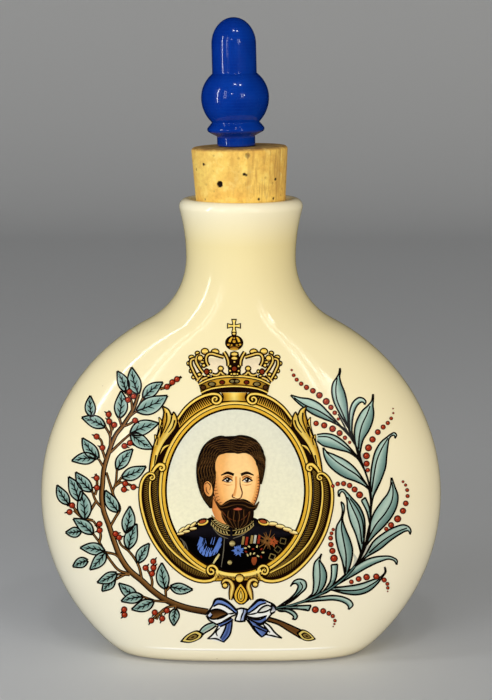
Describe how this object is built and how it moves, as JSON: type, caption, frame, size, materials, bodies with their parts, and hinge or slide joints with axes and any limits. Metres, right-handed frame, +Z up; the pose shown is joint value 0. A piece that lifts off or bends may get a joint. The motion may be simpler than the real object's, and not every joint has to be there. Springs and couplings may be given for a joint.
{
  "type": "snuff bottle",
  "caption": "Flat round glazed porcelain snuff flask with a printed front, closed by a tapered cork stopper with a turned lacquered knob that pulls out to fill or pour.",
  "frame": {"origin": "middle of the foot, on the surface the flask stands on", "axes": "+Z up through the neck and the stopper, -Y out of the printed front, +X to the right seen from the front"},
  "size_m": [0.08, 0.032, 0.1262],
  "materials": {
    "porcelain": "clear glossy glaze over a warm cream body, with a fired-on colour print on the front",
    "cork": "natural cork, cut and sanded, with open dark pores",
    "lacquered_wood": "turned wood under thick glossy ultramarine lacquer"
  },
  "bodies": {
    "flask": {"flask": "porcelain"},
    "stopper": {"cork": "cork", "knob": "lacquered_wood"}
  },
  "joints": [
    {"name": "stopper_pull", "type": "slide", "parent": "flask", "child": "stopper", "axis": [-0.0244, 0, 0.9997], "range_m": [0, 0.05]}
  ]
}
